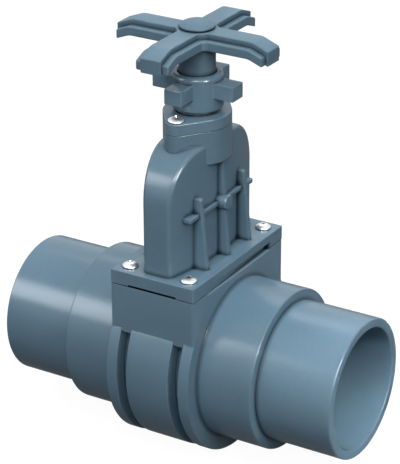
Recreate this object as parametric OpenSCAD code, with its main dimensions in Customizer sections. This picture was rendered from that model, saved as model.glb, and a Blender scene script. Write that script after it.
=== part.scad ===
// Slide valve, DN50, solvent-cement sockets for 63 mm pipe.
// X is the pipe axis, Z points up along the stem, z = 0 is the lowest point of the drum.
// Inside the modules z is measured from the pipe axis; lift() raises each piece to the frame.

/* [Pipe ends] */
// Outside diameter of the pipe that the sockets take
pipe_d = 63; // [60:0.5:66]
// Radial clearance between pipe and socket bore
socket_gap = 0.1; // [0.05:0.05:0.3]
// Wall of the end sockets
socket_wall = 4.8; // [4:0.2:5]
// Depth of each socket bore
socket_depth = 38; // [30:1:40]
// Face to face length of the valve
valve_len = 192; // [184:1:204]
// Diameter of the flow port
port_d = 50; // [46:1:51]
// Rounding of the moulded edges of the sockets
socket_edge = 0.8; // [0.4:0.2:1.2]

/* [Body] */
// Outside diameter of the two hubs
hub_d = 83.8; // [82:0.2:86]
// Length over both hubs
hub_len = 109.6; // [104:0.4:114]
// Outside diameter of the drum and its rims
drum_d = 100.6; // [96:0.2:104]
// Size of the block and of the bonnet plate along the pipe
block_x = 48.4; // [48:0.4:56]
// Size of the block and of the bonnet plate across the pipe
block_y = 88.4; // [87:0.2:92]
// Underside of the block above the pipe axis
block_low = 22; // [16:1:24]
// Parting line between block and bonnet plate, above the pipe axis
block_top = 47.5; // [47:0.1:50]
// Width of each outer rim of the drum
rim_w = 6.2; // [4:0.2:7]
// Width of the groove behind each rim
groove_w = 5.6; // [4:0.2:6]
// Rounding of the drum and hub edges
drum_edge = 1.2; // [0.6:0.2:1.6]
// Rounding of the upright block edges
block_edge = 1.2; // [0.6:0.2:2]
// Radial gap of the cemented joint between hub and socket
cement_gap = 0.05; // [0.02:0.01:0.1]

/* [Gate and seats] */
// Thickness of the gate
gate_t = 13; // [12:0.2:13.2]
// Radius of the gate edge
gate_r = 29.5; // [29.2:0.1:30]
// Clearance between gate edge and chamber
gate_gap = 0.5; // [0.3:0.1:0.8]
// Clearance between gate face and chamber wall
face_gap = 0.5; // [0.3:0.1:0.8]
// Clearance between gate face and seat seal
seal_gap = 0.1; // [0.05:0.05:0.2]
// Flat top of the gate above the pipe axis
gate_top = 33; // [32.5:0.5:34]
// Travel of the gate from closed to open
gate_travel = 55; // [54:0.5:56]
// Length of each seat ring along the pipe
seat_len = 8; // [7:0.5:10]
// Length of the narrow front step of the seat ring
seat_step = 3; // [2.5:0.5:4]
// Outer radius of the front step of the seat ring
seat_front_r = 29.8; // [29.6:0.1:30.2]
// Outer radius of the back of the seat ring
seat_back_r = 31.6; // [31.2:0.1:31.8]
// Radial gap around the seat rings
seat_gap = 0.1; // [0.05:0.05:0.2]
// Inner radius of the seat seal
seal_in_r = 26.2; // [26:0.1:26.6]
// Outer radius of the seat seal
seal_out_r = 28.4; // [28:0.1:28.6]
// Depth of the seal seat in the ring
seal_depth = 2.2; // [1.8:0.1:2.4]

/* [Bonnet] */
// Thickness of the bonnet plate
plate_t = 7.8; // [7:0.2:10]
// Greatest thickness of the bonnet housing along the pipe
bonnet_x = 25.4; // [25:0.2:27]
// Width of the bonnet housing across the pipe
bonnet_y = 79; // [77:0.5:81]
// Radius of the curved broad faces
face_r = 156; // [150:1:180]
// Crown of the bonnet above the pipe axis
crown_z = 118; // [117.5:0.5:120]
// Radius of the bonnet shoulders
shoulder_r = 26; // [20:1:30]
// Wall of the bonnet housing
bonnet_wall = 2.8; // [2.4:0.1:2.9]
// Rounding of the upright ends of the bonnet housing
end_edge = 2.4; // [1.6:0.2:3]
// Depth of the slots in from the plate edges
slot_in = 3; // [2:0.5:4]
// Height of the thin slots in the short sides of the plate
slot_h = 1.3; // [0.8:0.1:1.8]
// Length of the thin slots in the short sides of the plate
slot_x = 27.8; // [20:0.2:30]
// Height of the tall slots in the long sides of the plate
tall_slot_h = 3.5; // [2:0.1:4]
// Step cut into the block below the tall slots
tall_slot_low = 1; // [0.4:0.1:1.6]
// Length of the tall slots in the long sides of the plate
slot_y = 62.6; // [50:0.2:66]
// Distance of the bonnet screws from the middle, along the pipe
screw_x = 17; // [16.6:0.1:18]
// Distance of the bonnet screws from the middle, across the pipe
screw_y = 36.8; // [36:0.1:38]

/* [Ribs] */
// Distance of the outer ribs from the middle
rib_y = 20.8; // [18:0.2:24]
// Thickness of the upright ribs
rib_t = 2.9; // [2:0.1:3.2]
// Reach of the upright ribs at the plate
rib_foot = 18.6; // [17:0.1:20]
// Reach of the upright ribs at their top
rib_head = 15; // [14.4:0.1:16]
// Top of the outer ribs above the pipe axis
rib_top = 93; // [88:1:96]
// Reach of the flat-fronted cross ribs from the middle
cross_reach = 14.4; // [13.6:0.1:15.4]
// Thickness of the cross ribs
cross_t = 2.7; // [2:0.1:3]
// Top of the cross ribs above the pipe axis
cross_z = 85.1; // [82:0.1:88]
// Half length of the cross rib on the +X face
cross_y = 30.5; // [27:0.5:32]
// Half length of the cross rib on the -X face
cross_y_back = 23.5; // [22.5:0.5:32]
// Radius of the round boss where the ribs cross
knob_r = 4; // [3.4:0.1:4.6]
// Reach of the round boss from the middle
knob_out = 18.5; // [17.5:0.1:20]
// Height of the round boss above the pipe axis
knob_z = 84; // [80:0.5:88]

/* [Neck and gland] */
// Diameter of the round neck
neck_d = 34.4; // [34:0.2:36]
// Lower end of the neck in front of the broad faces
neck_low = 106.6; // [104:0.2:110]
// Parting line between bonnet neck and gland flange
neck_top = 124.4; // [124.2:0.1:125]
// Thickness of the gland flange
flange_t = 6; // [5:0.2:6.4]
// Distance of the gland screws from the stem
ear_y = 20.2; // [20:0.1:21]
// Radius of the ear ends
ear_r = 5; // [4.6:0.1:5.4]
// Outside diameter of the threaded gland spigot
spigot_d = 22; // [21.6:0.1:22.4]
// Bore of the gland spigot, taking the packing
pack_d = 17; // [16.6:0.1:17.4]
// Gap between flange and gland nut
nut_rise = 2.4; // [2:0.1:2.6]
// Outside diameter of the gland nut
nut_d = 26.4; // [26.2:0.1:27]
// Height of the gland nut
nut_h = 17.8; // [17.4:0.2:18.6]
// Rounding of the upper edge of the gland nut
nut_round = 2.1; // [1:0.1:2.6]
// Reach of the gland nut lugs
lug_r = 23.1; // [21:0.1:24]
// Width of the gland nut lugs
lug_w = 9.9; // [8:0.1:11]
// Height of the gland nut lugs
lug_h = 8; // [6:0.1:9]
// Underside of the lugs above the nut underside
lug_z = 6.5; // [5:0.1:8]
// Cord thickness of the O-ring between neck and gland flange
oring_d = 1.4; // [1.2:0.1:1.6]
// Radius of the O-ring's middle
oring_r = 14.3; // [14.2:0.1:14.4]
// Radial gap between spigot thread and gland nut thread
thread_gap = 0.1; // [0.08:0.01:0.15]
// Lift of the gland nut in half a turn
gland_lift = 1; // [0.8:0.1:1]

/* [Stem] */
// Diameter of the stem in bush and packing
stem_d = 11; // [10.8:0.1:11.2]
// Diameter of the threaded part of the stem
thread_d = 8; // [7.6:0.1:8.2]
// Diameter of the thrust collar
collar_d = 19; // [18:0.2:20]
// Thickness of the thrust collar
collar_t = 3; // [2.5:0.1:3.2]
// Wall of the bush around the stem
bush_wall = 2.5; // [2:0.1:3]
// Radial running clearance of the stem
run_gap = 0.05; // [0.02:0.01:0.09]
// Across flats of the square drive under the handle
drive_w = 7.6; // [7:0.1:7.6]
// Lower end of the stem above the pipe axis
stem_low = 46; // [44:0.5:47]

/* [Handle] */
// Top of the handle above the pipe axis
handle_z = 172.7; // [172:0.1:176]
// Reach of each handle arm
arm_r = 42.7; // [40:0.1:48]
// Where the arm starts to bend down
bend_r = 33.7; // [30:0.1:36]
// Fall of the arm from bend to tip
tip_fall = 3.5; // [2:0.1:4.5]
// Width of the upper face of the arms
arm_w = 11.2; // [10.6:0.1:13]
// Width over the side rails
rail_w = 18.4; // [17.4:0.1:20]
// Top of the rails below the arm top
rail_drop = 2.9; // [2.4:0.1:3.2]
// Height of the rails
rail_h = 3.7; // [3.2:0.1:4]
// Where the rails end
rail_r = 41.2; // [38:0.1:41.6]
// Height of the tip block
tip_h = 7.1; // [6.6:0.1:8]
// Diameter of the handle hub
hub_pin_d = 18.4; // [18:0.1:18.8]
// Diameter of the handle cap
cap_d = 17.8; // [16:0.1:18.4]
// Height of the cap above the arms
cap_h = 4.2; // [3.6:0.1:5]

/* [Fasteners] */
// Shank diameter of the bonnet and gland screws
screw_d = 4; // [3.8:0.1:4.2]
// Head diameter of the bonnet and gland screws
head_d = 8; // [7.4:0.1:8.2]
// Head height of the bonnet and gland screws
head_h = 2.5; // [2:0.1:3]
// Length of the bonnet screws under the head
bonnet_screw_len = 14; // [12:0.5:15]
// Length of the gland screws under the head
gland_screw_len = 11; // [9:0.5:11]
// Shank diameter of the handle screw
cap_screw_d = 5; // [4.6:0.1:5]
// Head diameter of the handle screw
cap_screw_head_d = 9; // [8:0.1:10]
// Head height of the handle screw
cap_screw_head_h = 2.4; // [2:0.1:2.6]
// Length of the handle screw under the head
cap_screw_len = 10; // [8:0.5:10]
// Diameter of the brass inserts
insert_d = 5.8; // [5.6:0.1:6]
// Length of the bonnet inserts
insert_h = 8; // [6:0.5:9]
// Length of the gland inserts
gland_insert_h = 5.5; // [5:0.1:5.6]
// Radial clearance of the screws
screw_gap = 0.2; // [0.1:0.05:0.3]

/* [Hidden] */
$fn = 72;
eps = 0.02;

pvc = [0.42, 0.49, 0.56];
steel = [0.78, 0.79, 0.81];
brass = [0.80, 0.66, 0.35];
rubber = [0.13, 0.13, 0.14];
acetal = [0.90, 0.89, 0.85];

axis_z = drum_d / 2;
bore_d = pipe_d + 2 * socket_gap;
socket_d = bore_d + 2 * socket_wall;
core_w = block_x - 2 * (rim_w + groove_w);
plate_top = block_top + plate_t;
wall_x = gate_t / 2 + face_gap;
seal_x = gate_t / 2 + seal_gap;
seat_end = wall_x + seat_len;
chamber_r = gate_r + gate_gap;

// Gate boss, which holds the stem nut
boss_r = bonnet_x / 2 - bonnet_wall - 1.1;
boss_top = gate_top + 24.5;
boss_pocket_z = gate_top + 0.6;
nut_r = 6.4;
nut_len = 9;
retainer_t = 2;
nut_base = boss_top - retainer_t - nut_len;

// Neck and gland heights
cavity_top = crown_z - 3;
neck_floor = cavity_top + 3.5;
neck_bore_r = 12;
bush_gap = 0.4;
bush_flange = 1.3;
collar_z = neck_floor + bush_flange + run_gap;
washer_z = collar_z + collar_t + run_gap;
washer_t = neck_top - washer_z - run_gap;
flange_top = neck_top + flange_t;
nut_z = flange_top + nut_rise;
nut_top = nut_z + nut_h;
spigot_top = nut_top - 2.5 - 2 - 1.5;
pack_floor = flange_top - 2;
ring_h = 2.6;
pack_top = pack_floor + 3 * ring_h;
flange_underside = nut_top - 2.5 - 2;
thread_r = spigot_d / 2 + thread_gap;
nut_hole_r = hub_pin_d / 2 + 0.5;

// Handle heights
rail_top = handle_z - rail_drop;
rail_low = rail_top - rail_h;
hub_low = nut_top - 2.5 + gland_lift + 0.5;
drive_z = hub_low + 1.5;
recess_z = handle_z - 5.5;
washer_h = 1;
stem_top = recess_z - 0.5;

// Raises a piece from the pipe axis to the frame.
module lift() {
  translate([0, 0, axis_z]) children();
}

// Repeats a piece on both ends of the pipe axis.
module both_ends() {
  for (s = [0, 180]) rotate([0, 0, s]) children();
}

// Turns a piece built along Z to lie along +X.
module along_x() {
  rotate([0, 90, 0]) children();
}

// Disc or tube with rounded outer edges, standing on z = 0.
module puck(d, h, r) {
  rotate_extrude()
    union() {
      square([d / 2 - r, h]);
      translate([0, r]) square([d / 2, h - 2 * r]);
      translate([d / 2 - r, r]) circle(r = r, $fn = 24);
      translate([d / 2 - r, h - r]) circle(r = r, $fn = 24);
    }
}

// Tube from z = 0.
module tube(ro, ri, h) {
  difference() {
    cylinder(r = ro, h = h);
    translate([0, 0, -1]) cylinder(r = ri, h = h + 2);
  }
}

// Box with rounded upright edges, centred in X and Y, standing on z = 0.
module rbox(x, y, h, r) {
  translate([-x / 2 + r, -y / 2, 0]) cube([x - 2 * r, y, h]);
  translate([-x / 2, -y / 2 + r, 0]) cube([x, y - 2 * r, h]);
  for (sx = [-1, 1], sy = [-1, 1])
    translate([sx * (x / 2 - r), sy * (y / 2 - r), 0]) cylinder(r = r, h = h, $fn = 32);
}

// Places children at the four bonnet screws.
module at_bonnet_screws() {
  for (sx = [-1, 1], sy = [-1, 1]) translate([sx * screw_x, sy * screw_y, 0]) children();
}

// Places children at the two gland screws.
module at_gland_screws() {
  for (sy = [-1, 1]) translate([0, sy * ear_y, 0]) children();
}

// Pan-head screw with its seat at z = 0 and its shank pointing down.
module pan_screw(d, hd, hh, len) {
  translate([0, 0, -len]) cylinder(d = d, h = len + eps, $fn = 32);
  rotate_extrude($fn = 40)
    intersection() {
      square([hd / 2, hh]);
      union() {
        square([hd / 2, hh * 0.35]);
        translate([0, hh - hd * 0.72]) circle(r = hd * 0.72, $fn = 96);
      }
    }
}

// Socket tube at the +X end: spigot in the hub, pipe stop and socket bore.
module socket() {
  difference() {
    translate([seat_end, 0, 0]) along_x() puck(socket_d, valve_len / 2 - seat_end, socket_edge);
    translate([seat_end - 1, 0, 0]) along_x() cylinder(d = port_d, h = valve_len, $fn = 96);
    translate([valve_len / 2 - socket_depth, 0, 0])
      along_x() cylinder(d = bore_d, h = socket_depth + 1, $fn = 120);
  }
}

// Seat ring on the +X side: stepped outside, seal seat in its front face.
module seat_ring() {
  translate([wall_x, 0, 0]) along_x() difference() {
    union() {
      cylinder(r = seat_front_r, h = seat_step + eps);
      translate([0, 0, seat_step]) cylinder(r = seat_back_r, h = seat_len - seat_step);
    }
    translate([0, 0, -1]) cylinder(d = port_d, h = seat_len + 2);
    translate([0, 0, -1]) tube(seal_out_r + eps, seal_in_r - eps, 1 + seal_depth + eps);
  }
}

// Elastomer face seal on the +X side.
module seat_seal() {
  translate([seal_x, 0, 0]) along_x() tube(seal_out_r, seal_in_r, wall_x - seal_x + seal_depth);
}

// Plan of the two-eared neck flange: round middle, round ears, tangent sides.
module ear_plan(h) {
  r = neck_d / 2;
  c = (r - ear_r) / ear_y;
  s = sqrt(1 - c * c);
  cylinder(r = r, h = h);
  at_gland_screws() cylinder(r = ear_r, h = h, $fn = 40);
  linear_extrude(height = h)
    polygon([
      [r * s, r * c], [ear_r * s, ear_y + ear_r * c],
      [-ear_r * s, ear_y + ear_r * c], [-r * s, r * c],
      [-r * s, -r * c], [-ear_r * s, -ear_y - ear_r * c],
      [ear_r * s, -ear_y - ear_r * c], [r * s, -r * c]
    ]);
}

// Arched upright slab along X: straight sides, round shoulders, flat crown.
module arch(y, low, high, r, x) {
  translate([-x / 2, -y / 2, low]) cube([x, y, high - r - low]);
  translate([-x / 2, -y / 2 + r, low]) cube([x, y - 2 * r, high - low]);
  for (s = [-1, 1])
    translate([-x / 2, s * (y / 2 - r), high - r]) along_x() cylinder(r = r, h = x, $fn = 120);
}

// Slab between two large cylinders, as wide as t in the middle.
module lens(t, r, low, high) {
  intersection() {
    translate([r - t / 2, 0, low]) cylinder(r = r, h = high - low, $fn = 360);
    translate([t / 2 - r, 0, low]) cylinder(r = r, h = high - low, $fn = 360);
  }
}

// Outside of the bonnet housing without ribs and neck.
module bonnet_shell() {
  y_in = bonnet_y / 2 - end_edge;
  // The corner rounding starts a hair outside the broad face, so that the two cross cleanly.
  x_in = bonnet_x / 2 - face_r + sqrt(face_r * face_r - y_in * y_in) - end_edge + 0.05;
  intersection() {
    lens(bonnet_x, face_r, plate_top - 1, crown_z + 1);
    arch(bonnet_y, plate_top - 1, crown_z, shoulder_r, 60);
    union() {
      translate([-30, -y_in, plate_top - 1]) cube([60, 2 * y_in, crown_z]);
      translate([-x_in, -bonnet_y / 2, plate_top - 1]) cube([2 * x_in, bonnet_y, crown_z]);
      for (sx = [-1, 1], sy = [-1, 1])
        translate([sx * x_in, sy * y_in, plate_top - 1])
          cylinder(r = end_edge, h = crown_z, $fn = 32);
    }
  }
}

// Hollow of the bonnet housing.
module bonnet_hollow() {
  intersection() {
    lens(bonnet_x - 2 * bonnet_wall, face_r - bonnet_wall, block_top - 1, crown_z);
    arch(bonnet_y - 2 * bonnet_wall, block_top - 1, cavity_top, shoulder_r - 3, 60);
  }
}

// Upright rib on the +X face: foot on the plate, sloping front, clipped top corner.
module upright_rib(top) {
  rotate([90, 0, 0])
    translate([0, 0, -rib_t / 2])
      linear_extrude(height = rib_t)
        polygon([
          [bonnet_x / 2 - 2, plate_top - 1], [rib_foot, plate_top - 1],
          [rib_head, top - 1.6], [rib_head - 1.6, top],
          [bonnet_x / 2 - 2, top]
        ]);
}

// Cross rib on the +X face, with a flat front.
module cross_rib(half_y) {
  translate([5, -half_y, cross_z - cross_t]) cube([cross_reach - 5, 2 * half_y, cross_t]);
}

// All ribs and the round boss of the +X face.
module rib_set(half_y) {
  upright_rib(neck_low + 1.6);
  for (s = [-1, 1]) translate([0, s * rib_y, 0]) upright_rib(rib_top);
  cross_rib(half_y);
  translate([bonnet_x / 2 - 2, 0, knob_z])
    along_x() puck(2 * knob_r, knob_out - bonnet_x / 2 + 2, 0.4);
}

// Body: drum with rims and grooves, two hubs, block, gate chamber and seat pockets.
module body() lift() color(pvc) {
  difference() {
    union() {
      translate([-hub_len / 2, 0, 0]) along_x() puck(hub_d, hub_len, drum_edge);
      translate([-core_w / 2, 0, 0]) along_x() puck(drum_d, core_w, drum_edge);
      both_ends()
        translate([block_x / 2 - rim_w, 0, 0]) along_x() puck(drum_d, rim_w, drum_edge);
      translate([0, 0, block_low])
        rbox(block_x, block_y, block_top - block_low, block_edge);
    }
    both_ends() {
      translate([wall_x - eps, 0, 0])
        along_x() cylinder(r = seat_front_r + seat_gap, h = hub_len);
      translate([wall_x + seat_step, 0, 0])
        along_x() cylinder(r = seat_back_r + seat_gap, h = hub_len);
      translate([seat_end, 0, 0])
        along_x() cylinder(r = socket_d / 2 + cement_gap, h = hub_len, $fn = 96);
    }
    translate([-wall_x, 0, 0]) along_x() cylinder(r = chamber_r, h = 2 * wall_x);
    translate([-wall_x, -chamber_r, 0]) cube([2 * wall_x, 2 * chamber_r, block_top + 1]);
    translate([0, 0, boss_pocket_z]) cylinder(r = boss_r + 0.6, h = block_top, $fn = 48);
    translate([-block_x, -block_y, block_top]) cube([2 * block_x, 2 * block_y, drum_d]);
    tall_slots();
    translate([0, 0, block_top - 2]) gasket_ring(3);
    at_bonnet_screws()
      translate([0, 0, block_top - insert_h - 3])
        cylinder(d = insert_d, h = insert_h + 4, $fn = 32);
  }
}

// Rectangular cord ring in the top of the block.
module gasket_ring(h) {
  y = chamber_r + 3.4;
  x = boss_r + 2.4;
  difference() {
    rbox(2 * x + 4, 2 * y + 4, h, 3);
    translate([0, 0, -1]) rbox(2 * x, 2 * y, h + 2, 1.2);
  }
}

module left_socket() lift() color(pvc) rotate([0, 0, 180]) socket();

module right_socket() lift() color(pvc) socket();

module left_seat_ring() lift() color(acetal) rotate([0, 0, 180]) seat_ring();

module right_seat_ring() lift() color(acetal) seat_ring();

module left_seat_seal() lift() color(rubber) rotate([0, 0, 180]) seat_seal();

module right_seat_seal() lift() color(rubber) seat_seal();

module bonnet_gasket() lift() color(rubber) translate([0, 0, block_top - 2]) gasket_ring(2);

// Bonnet: plate, arched hollow housing, ribs, round neck and two ears in one moulding.
module bonnet() lift() color(pvc) {
  difference() {
    union() {
      translate([0, 0, block_top]) rbox(block_x, block_y, plate_t, block_edge);
      bonnet_shell();
      rib_set(cross_y);
      rotate([0, 0, 180]) rib_set(cross_y_back);
      translate([0, 0, neck_low]) cylinder(d = neck_d, h = neck_top - neck_low);
      translate([0, 0, cavity_top]) ear_plan(neck_top - cavity_top);
    }
    bonnet_hollow();
    for (s = [-1, 1])
      translate([-slot_x / 2, s * (block_y / 2) - slot_in, block_top - 1])
        cube([slot_x, 2 * slot_in, 1 + slot_h]);
    tall_slots();
    at_bonnet_screws()
      translate([0, 0, block_top - 1])
        cylinder(d = screw_d + 2 * screw_gap, h = plate_t + 2, $fn = 32);
    at_gland_screws()
      translate([0, 0, neck_top - gland_insert_h - 1])
        cylinder(d = insert_d, h = gland_insert_h + 2, $fn = 32);
    translate([0, 0, cavity_top - 1])
      cylinder(r = stem_d / 2 + bush_wall, h = neck_top - cavity_top, $fn = 48);
    translate([0, 0, neck_floor]) cylinder(r = neck_bore_r, h = neck_top - neck_floor + 1);
    translate([0, 0, neck_top - oring_d - 0.1])
      tube(oring_r + oring_d / 2 + 0.3, oring_r - oring_d / 2 - 0.3, oring_d + 1);
  }
}

// Tall slots in the long sides: most of each in the plate, the rest a step in the block.
module tall_slots() {
  for (s = [-1, 1])
    translate([s * (block_x / 2) - slot_in, -slot_y / 2, block_top - tall_slot_low])
      cube([2 * slot_in, slot_y, tall_slot_low + tall_slot_h]);
}

module bonnet_screws() lift() color(steel)
  at_bonnet_screws() translate([0, 0, plate_top])
    pan_screw(screw_d, head_d, head_h, bonnet_screw_len);

module bonnet_inserts() lift() color(brass)
  at_bonnet_screws()
    translate([0, 0, block_top - insert_h])
      difference() {
        cylinder(d = insert_d, h = insert_h - 0.2, $fn = 32);
        translate([0, 0, -1]) cylinder(d = screw_d, h = insert_h + 2, $fn = 32);
      }

module stem_bush() lift() color(acetal)
  difference() {
    union() {
      translate([0, 0, cavity_top])
        cylinder(r = stem_d / 2 + bush_wall, h = neck_floor - cavity_top + eps, $fn = 48);
      translate([0, 0, neck_floor]) cylinder(r = neck_bore_r - bush_gap, h = bush_flange);
    }
    translate([0, 0, cavity_top - 1])
      cylinder(r = stem_d / 2 + run_gap, h = neck_top - cavity_top);
  }

module thrust_washer() lift() color(acetal)
  translate([0, 0, washer_z]) tube(neck_bore_r - bush_gap, stem_d / 2 + run_gap, washer_t);

// Gland flange: two-eared plate with the threaded spigot that takes the packing.
module gland_flange() lift() color(pvc)
  difference() {
    union() {
      translate([0, 0, neck_top]) ear_plan(flange_t);
      translate([0, 0, neck_top]) cylinder(d = spigot_d, h = spigot_top - neck_top);
    }
    translate([0, 0, neck_top - 1])
      cylinder(r = stem_d / 2 + 0.3, h = spigot_top - neck_top);
    translate([0, 0, pack_floor]) cylinder(d = pack_d, h = spigot_top - pack_floor + 1);
    at_gland_screws()
      translate([0, 0, neck_top - 1])
        cylinder(d = screw_d + 2 * screw_gap, h = flange_t + 2, $fn = 32);
  }

module gland_oring() lift() color(rubber)
  translate([0, 0, neck_top - oring_d / 2 - 0.05])
    rotate_extrude() translate([oring_r, 0]) circle(d = oring_d, $fn = 24);

module gland_screws() lift() color(steel)
  at_gland_screws() translate([0, 0, flange_top])
    pan_screw(screw_d, head_d, head_h, gland_screw_len);

module gland_inserts() lift() color(brass)
  at_gland_screws()
    translate([0, 0, neck_top - gland_insert_h])
      difference() {
        cylinder(d = insert_d, h = gland_insert_h - 0.2, $fn = 32);
        translate([0, 0, -1]) cylinder(d = screw_d, h = gland_insert_h + 2, $fn = 32);
      }

module packing_rings() lift() color(rubber)
  for (i = [0 : 2])
    translate([0, 0, pack_floor + i * ring_h])
      tube(pack_d / 2 - 0.05, stem_d / 2 + run_gap, ring_h - 0.1);

module gland_follower() lift() color(acetal)
  difference() {
    union() {
      translate([0, 0, pack_top]) cylinder(d = pack_d - 0.2, h = flange_underside - pack_top + eps);
      translate([0, 0, flange_underside]) cylinder(r = thread_r - 0.3, h = 2);
    }
    translate([0, 0, pack_top - 1]) cylinder(r = stem_d / 2 + 0.2, h = nut_top - pack_top);
  }

// Gland nut: round cap with a bevelled rim and four driving lugs.
module gland_nut() lift() color(pvc)
  difference() {
    union() {
      translate([0, 0, nut_z]) rotate_extrude()
        polygon([
          [0, 0], [nut_d / 2 - 0.6, 0], [nut_d / 2, 0.6],
          [nut_d / 2, nut_h - nut_round], [nut_d / 2 - 0.3 * nut_round, nut_h - 0.3 * nut_round],
          [nut_d / 2 - nut_round, nut_h], [0, nut_h]
        ]);
      for (a = [0 : 90 : 270])
        rotate([0, 0, a])
          translate([nut_d / 2 - 2, -lug_w / 2, nut_z + lug_z])
            cube([lug_r - nut_d / 2 + 2, lug_w, lug_h]);
    }
    translate([0, 0, nut_z - 1]) cylinder(r = thread_r, h = nut_h - 2.5 + 1);
    translate([0, 0, nut_z - 1]) cylinder(r = nut_hole_r, h = nut_h + 2);
  }

module stem() lift() color(steel) {
  translate([0, 0, stem_low]) cylinder(d1 = thread_d - 1.6, d2 = thread_d, h = 1, $fn = 48);
  translate([0, 0, stem_low + 1]) cylinder(d = thread_d, h = cavity_top - stem_low, $fn = 48);
  translate([0, 0, cavity_top + 0.5]) cylinder(d = stem_d, h = drive_z - cavity_top - 0.5);
  translate([0, 0, collar_z]) cylinder(d = collar_d, h = collar_t);
  difference() {
    translate([-drive_w / 2, -drive_w / 2, drive_z - eps])
      cube([drive_w, drive_w, stem_top - drive_z + eps]);
    translate([0, 0, stem_top - cap_screw_len]) cylinder(d = cap_screw_d, h = 20, $fn = 32);
  }
}

// One arm along +X: upper face, side rails and full-height tip block.
module arm() {
  zt = handle_z - tip_fall;
  fall_at_rail = tip_fall * (rail_r - bend_r) / (arm_r - bend_r);
  rotate([90, 0, 0]) {
    translate([0, 0, -arm_w / 2])
      linear_extrude(height = arm_w)
        polygon([
          [0, rail_low], [bend_r - 0.7, rail_low], [arm_r - 3.4, rail_low - tip_fall + 1],
          [arm_r - 3.4, zt - tip_h], [arm_r, zt - tip_h], [arm_r, zt],
          [bend_r, handle_z], [0, handle_z]
        ]);
    translate([0, 0, -rail_w / 2])
      linear_extrude(height = rail_w)
        polygon([
          [0, rail_low], [bend_r - 0.7, rail_low], [rail_r, rail_low - fall_at_rail + 0.9],
          [rail_r, rail_top - fall_at_rail], [bend_r - 0.7, rail_top], [0, rail_top]
        ]);
  }
}

// Handle: four arms, chamfered inner corners, hub with square drive.
module handle() lift() color(pvc)
  difference() {
    union() {
      for (a = [0 : 90 : 270]) rotate([0, 0, a]) arm();
      rotate([0, 0, 45])
        translate([-(arm_w + 3.5) / sqrt(2), -(arm_w + 3.5) / sqrt(2), rail_low])
          cube([(arm_w + 3.5) * sqrt(2), (arm_w + 3.5) * sqrt(2), handle_z - rail_low]);
      rotate([0, 0, 45])
        translate([-(rail_w + 2) / sqrt(2), -(rail_w + 2) / sqrt(2), rail_low])
          cube([(rail_w + 2) * sqrt(2), (rail_w + 2) * sqrt(2), rail_h]);
      translate([0, 0, hub_low]) cylinder(d = hub_pin_d, h = rail_low - hub_low + 1);
    }
    translate([0, 0, hub_low - 1]) cylinder(d = stem_d + 0.4, h = drive_z - hub_low + 1);
    translate([-drive_w / 2 - 0.1, -drive_w / 2 - 0.1, drive_z - 1])
      cube([drive_w + 0.2, drive_w + 0.2, 40]);
    translate([0, 0, recess_z]) cylinder(r = 6.6, h = 10, $fn = 48);
  }

module handle_washer() lift() color(steel)
  translate([0, 0, recess_z]) tube(6, cap_screw_d / 2 + 0.2, washer_h);

module handle_screw() lift() color(steel)
  translate([0, 0, recess_z + washer_h])
    pan_screw(cap_screw_d, cap_screw_head_d, cap_screw_head_h, cap_screw_len);

// Handle cap: low dome with a plug in the handle recess.
module handle_cap() lift() color(pvc) {
  r = cap_d / 2;
  h = cap_h - 1.6;
  sphere_r = (r * r + h * h) / (2 * h);
  difference() {
    union() {
      translate([0, 0, handle_z]) cylinder(r1 = r - 0.7, r2 = r, h = 0.7);
      translate([0, 0, handle_z + 0.7]) cylinder(r = r, h = 0.9);
      intersection() {
        translate([0, 0, handle_z + cap_h - sphere_r]) sphere(r = sphere_r, $fn = 144);
        translate([0, 0, handle_z + 1.6]) cylinder(r = r, h = 20);
      }
      translate([0, 0, handle_z - 1.6]) cylinder(r = 6.5, h = 2, $fn = 48);
    }
    translate([0, 0, handle_z - 2]) cylinder(r = 5.2, h = 2.6, $fn = 48);
  }
}

// Gate: flat-faced blade with a round lower edge, a nut boss and a stem well.
module gate() lift() color(pvc)
  difference() {
    union() {
      translate([-gate_t / 2, 0, 0]) along_x() cylinder(r = gate_r, h = gate_t, $fn = 96);
      translate([-gate_t / 2, -gate_r, 0]) cube([gate_t, 2 * gate_r, gate_top]);
      translate([-gate_t / 2, -14, gate_top - 1]) cube([gate_t, 28, 9]);
      translate([0, 0, gate_top + 1]) cylinder(r = boss_r, h = boss_top - gate_top - 1, $fn = 48);
    }
    translate([0, 0, stem_low - gate_travel - 2])
      cylinder(r = thread_d / 2 + 0.4, h = 80, $fn = 48);
    translate([0, 0, nut_base]) cylinder(r = nut_r + 0.1, h = 20, $fn = 48);
  }

module stem_nut() lift() color(brass)
  translate([0, 0, nut_base]) tube(nut_r, thread_d / 2 + run_gap, nut_len);

module nut_retainer() lift() color(steel)
  translate([0, 0, nut_base + nut_len]) tube(nut_r, thread_d / 2 + 0.4, retainer_t);

body();
left_socket();
right_socket();
left_seat_ring();
right_seat_ring();
left_seat_seal();
right_seat_seal();
bonnet_gasket();
bonnet();
bonnet_screws();
bonnet_inserts();
stem_bush();
thrust_washer();
gland_flange();
gland_oring();
gland_screws();
gland_inserts();
packing_rings();
gland_follower();
gland_nut();
stem();
handle();
handle_washer();
handle_screw();
handle_cap();
gate();
stem_nut();
nut_retainer();
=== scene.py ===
import math

import bmesh
import bpy
from mathutils import Matrix, Vector

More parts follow.
